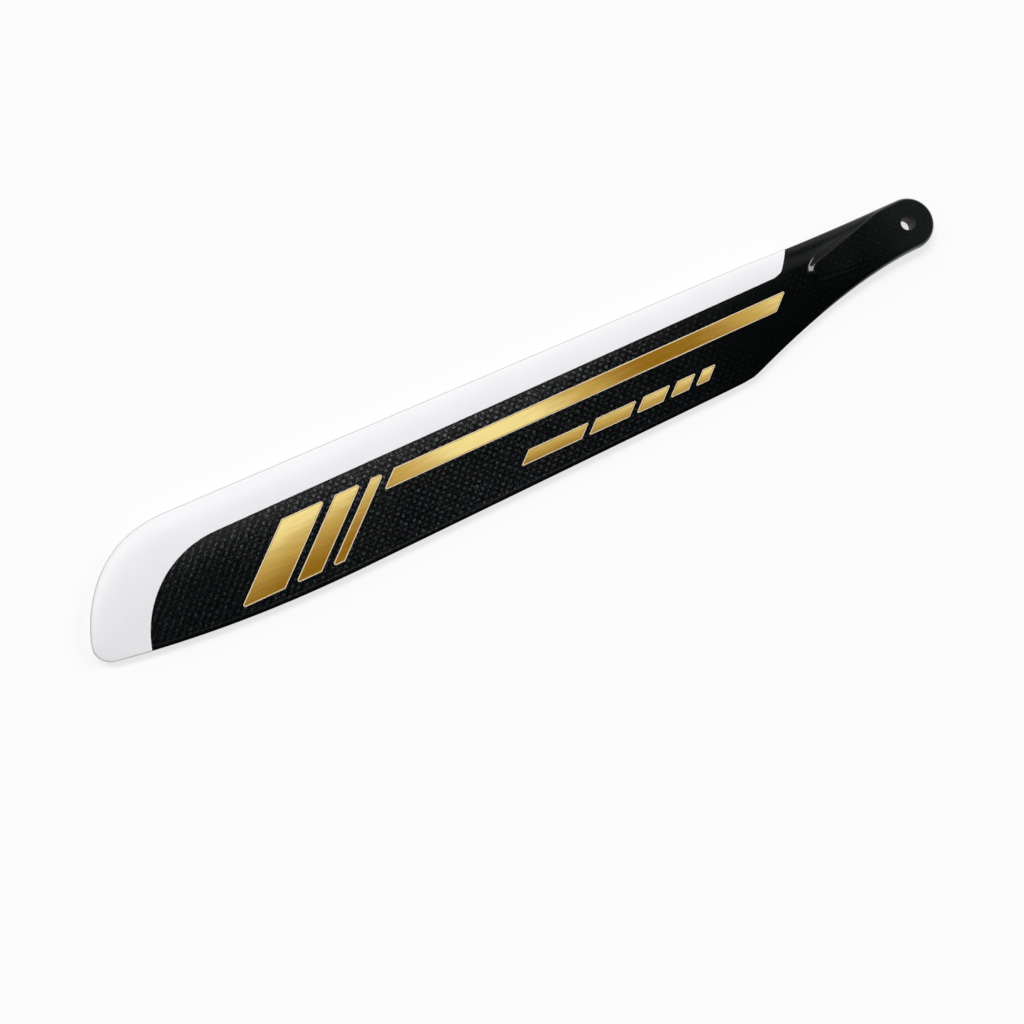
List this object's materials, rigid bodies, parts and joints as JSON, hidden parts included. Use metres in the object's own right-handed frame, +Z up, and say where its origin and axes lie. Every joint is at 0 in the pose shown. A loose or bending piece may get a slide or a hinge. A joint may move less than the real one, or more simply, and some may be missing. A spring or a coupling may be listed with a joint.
{
  "type": "helicopter rotor blade",
  "caption": "Carbon main rotor blade for a large model helicopter: symmetric airfoil with a swept, rounded tip, a flat root tab with a bolt hole, white leading edge and gold foil trim.",
  "frame": {"origin": "centre of the root bolt hole, at half the thickness of the root tab", "axes": "+X along the span from the bolt hole to the tip, +Y towards the trailing edge, +Z up along the bolt, out of the trimmed upper face"},
  "size_m": [0.6209, 0.0832, 0.012],
  "materials": {
    "carbon": "clear-coated black carbon weave",
    "white_paint": "gloss white paint",
    "gold_foil": "satin gold foil"
  },
  "bodies": {
    "root": {"blade": "carbon", "white_coat": "white_paint", "gold_stripe": "gold_foil", "gold_bars": "gold_foil", "gold_dashes": "gold_foil"}
  },
  "joints": []
}
